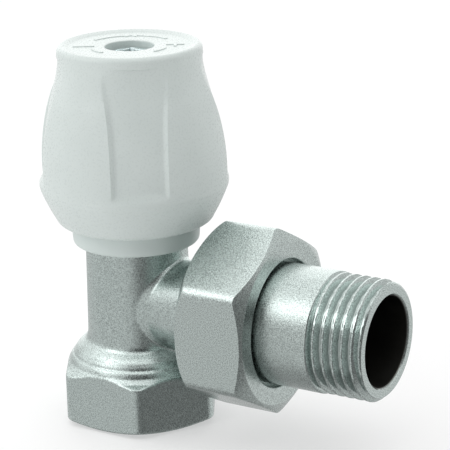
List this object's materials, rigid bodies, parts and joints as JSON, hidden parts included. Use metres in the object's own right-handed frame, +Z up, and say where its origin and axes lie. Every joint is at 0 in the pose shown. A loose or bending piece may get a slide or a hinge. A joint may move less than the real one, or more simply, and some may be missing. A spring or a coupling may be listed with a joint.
{
  "type": "angle lockshield valve",
  "caption": "Angle lockshield radiator valve with threaded inlet socket, plastic cover cap over the spindle, and a union nut with threaded tailpiece.",
  "frame": {"origin": "centre of the inlet's bottom face, on the tower axis", "axes": "+Z up the tower along spindle and cap, +X out along the outlet, union nut and tailpiece"},
  "size_m": [0.0671, 0.0338, 0.0683],
  "materials": {
    "body_nickel": "nickel-plated cast brass, fine satin grain",
    "nut_nickel": "nickel-plated brass, satin grain with brighter chamfers",
    "tail_nickel": "nickel-plated brass, grained shank and bright cut thread",
    "bonnet_brass": "turned brass",
    "gland_brass": "turned brass",
    "follower_brass": "turned brass",
    "plug_brass": "turned brass",
    "spindle_brass": "turned brass",
    "oring_rubber": "black nitrile rubber",
    "packing_rubber": "black packing rubber",
    "seal_rubber": "black seal rubber",
    "washer_steel": "stainless washer",
    "plug_screw_steel": "stainless screw",
    "clip_steel": "spring steel",
    "thrust_plastic": "white low-friction plastic",
    "zinc_screw": "blue-white zinc plate",
    "zinc_washer": "zinc plate",
    "white_cap": "white moulded plastic, satin",
    "white_collar": "white moulded plastic, satin"
  },
  "bodies": {
    "valve": {"valve_body": "body_nickel", "bonnet": "bonnet_brass", "bonnet_oring": "oring_rubber", "collar_ring": "white_collar", "gland_packing": "packing_rubber", "gland_follower": "follower_brass", "gland_nut": "gland_brass"},
    "plug": {"plug_holder": "plug_brass", "plug_seal": "seal_rubber", "plug_washer": "washer_steel", "plug_screw": "plug_screw_steel", "thrust_washer": "thrust_plastic", "spindle_clip": "clip_steel"},
    "spindle": {"spindle": "spindle_brass", "spindle_oring": "oring_rubber"},
    "cap_fixing": {"cap_screw": "zinc_screw", "cap_washer": "zinc_washer"},
    "cap": {"cap": "white_cap"},
    "tail": {"tailpiece": "tail_nickel", "tail_oring": "oring_rubber"},
    "nut": {"union_nut": "nut_nickel"}
  },
  "joints": [
    {"name": "plug_lift", "type": "slide", "parent": "valve", "child": "plug", "axis": [0, 0, 1], "range_m": [-0.003, 0]},
    {"name": "spindle_turn", "type": "hinge", "parent": "plug", "child": "spindle", "pos_m": [0, 0, 0.04], "axis": [0, 0, 1], "range_deg": [-1080, 0]},
    {"name": "cap_lift", "type": "slide", "parent": "spindle", "child": "cap_fixing", "axis": [0, 0, 1], "range_m": [0, 0.035]},
    {"name": "cap_spin", "type": "hinge", "parent": "cap_fixing", "child": "cap", "pos_m": [0, 0, 0.06], "axis": [0, 0, 1], "continuous": true},
    {"name": "tail_draw", "type": "slide", "parent": "valve", "child": "tail", "axis": [1, 0, 0], "range_m": [0, 0.00725]},
    {"name": "nut_turn", "type": "hinge", "parent": "tail", "child": "nut", "pos_m": [0.0235, 0, 0.0216], "axis": [1, 0, 0], "range_deg": [0, 1440]}
  ],
  "couplings": [
    {"joint": "spindle_turn", "follows": "plug_lift", "rad_per_m": 6283.2},
    {"joint": "nut_turn", "follows": "tail_draw", "rad_per_m": 3463.7}
  ]
}
